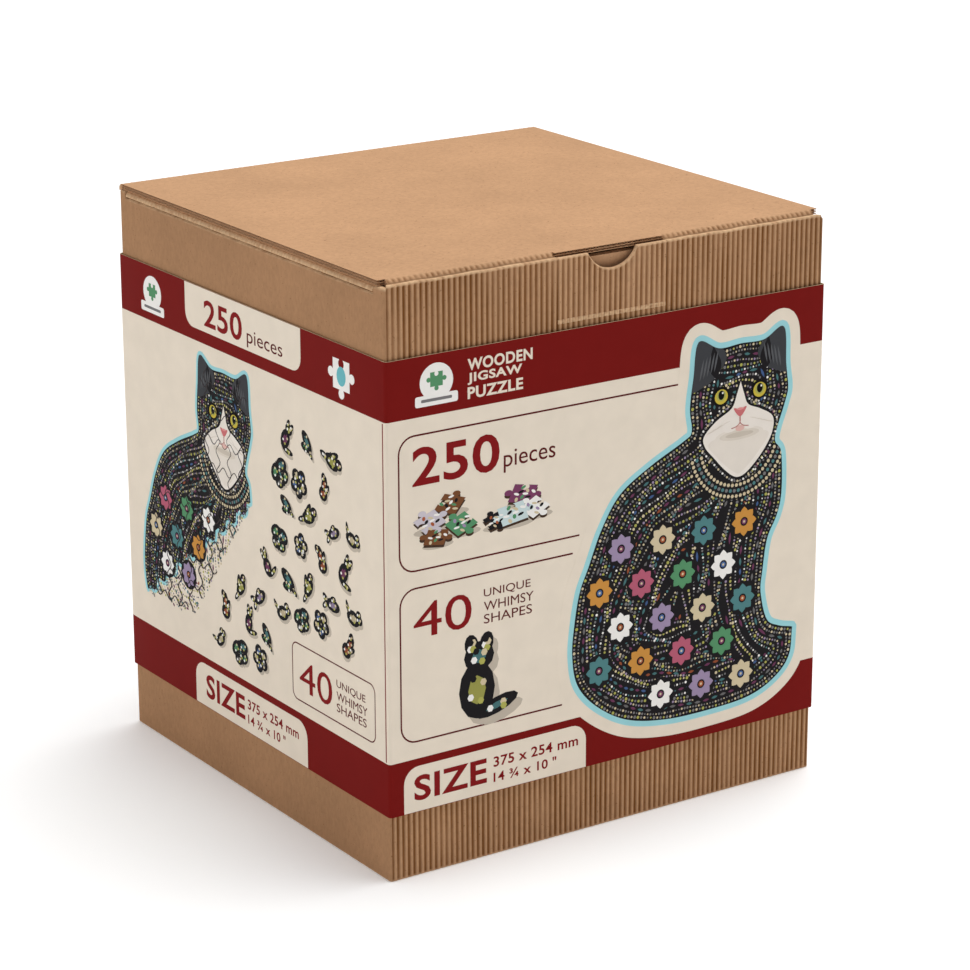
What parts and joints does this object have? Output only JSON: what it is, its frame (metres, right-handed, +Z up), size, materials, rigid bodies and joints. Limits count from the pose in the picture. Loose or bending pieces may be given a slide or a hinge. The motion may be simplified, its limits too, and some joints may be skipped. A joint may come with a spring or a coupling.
{
  "type": "boxed jigsaw puzzle",
  "caption": "Kraft micro-flute carton with a hinged tuck-in lid and thumb-notch lock tab, a slide-off printed sleeve, and loose wooden jigsaw pieces and whimsies inside.",
  "frame": {"origin": "centre of the base", "axes": "+Z up, front wall with the thumb notch faces -Y, +X to the right seen from the front"},
  "size_m": [0.153, 0.1516, 0.175],
  "materials": {
    "kraft_board": "matt uncoated kraft, front and back fluted",
    "printed_sleeve": "semi-matt print in dark red and cream",
    "plywood_pieces": "laser-cut plywood, printed tops and dark cut edges"
  },
  "bodies": {
    "carton": {"front_wall": "kraft_board", "back_wall": "kraft_board", "left_wall": "kraft_board", "right_wall": "kraft_board", "glue_flap": "kraft_board", "bottom_front_flap": "kraft_board", "bottom_back_flap": "kraft_board", "bottom_left_flap": "kraft_board", "bottom_right_flap": "kraft_board", "border_pieces": "plywood_pieces", "pieces_four_knobs": "plywood_pieces", "pieces_no_knob": "plywood_pieces", "pieces_one_knob": "plywood_pieces", "pieces_three_knobs": "plywood_pieces", "pieces_two_knobs": "plywood_pieces", "whimsy_birds": "plywood_pieces", "whimsy_butterflies": "plywood_pieces", "whimsy_cats": "plywood_pieces", "whimsy_fish": "plywood_pieces", "whimsy_flowers": "plywood_pieces", "whimsy_hearts": "plywood_pieces", "whimsy_leaves": "plywood_pieces", "whimsy_mice": "plywood_pieces", "whimsy_moons": "plywood_pieces", "whimsy_stars": "plywood_pieces"},
    "lid": {"lid_panel": "kraft_board"},
    "tuck": {"tuck_flap": "kraft_board"},
    "dust_left": {"dust_flap_left": "kraft_board"},
    "dust_right": {"dust_flap_right": "kraft_board"},
    "lock_tab": {"front_lock_tab": "kraft_board"},
    "sleeve": {"sleeve_front": "printed_sleeve", "sleeve_back": "printed_sleeve", "sleeve_left": "printed_sleeve", "sleeve_right": "printed_sleeve", "sleeve_lap": "printed_sleeve"}
  },
  "joints": [
    {"name": "lid_hinge", "type": "hinge", "parent": "carton", "child": "lid", "pos_m": [0, 0.075, 0.175], "axis": [-1, 0, 0], "range_deg": [0, 180]},
    {"name": "tuck_hinge", "type": "hinge", "parent": "lid", "child": "tuck", "pos_m": [0, -0.07305, 0.175], "axis": [-1, 0, 0], "range_deg": [0, 90]},
    {"name": "dust_left_hinge", "type": "hinge", "parent": "carton", "child": "dust_left", "pos_m": [-0.076, 0, 0.17305], "axis": [0, -1, 0], "range_deg": [0, 90]},
    {"name": "dust_right_hinge", "type": "hinge", "parent": "carton", "child": "dust_right", "pos_m": [0.076, 0, 0.17305], "axis": [0, 1, 0], "range_deg": [0, 90]},
    {"name": "lock_tab_hinge", "type": "hinge", "parent": "carton", "child": "lock_tab", "pos_m": [0, -0.075, 0.1555], "axis": [1, 0, 0], "range_deg": [0, 60]},
    {"name": "sleeve_slide", "type": "slide", "parent": "carton", "child": "sleeve", "axis": [0, 0, 1], "range_m": [-0.02, 0.165]}
  ],
  "couplings": [
    {"joint": "tuck_hinge", "follows": "lid_hinge", "ratio": 0.5},
    {"joint": "dust_left_hinge", "follows": "lid_hinge", "ratio": 0.5},
    {"joint": "dust_right_hinge", "follows": "lid_hinge", "ratio": 0.5}
  ]
}
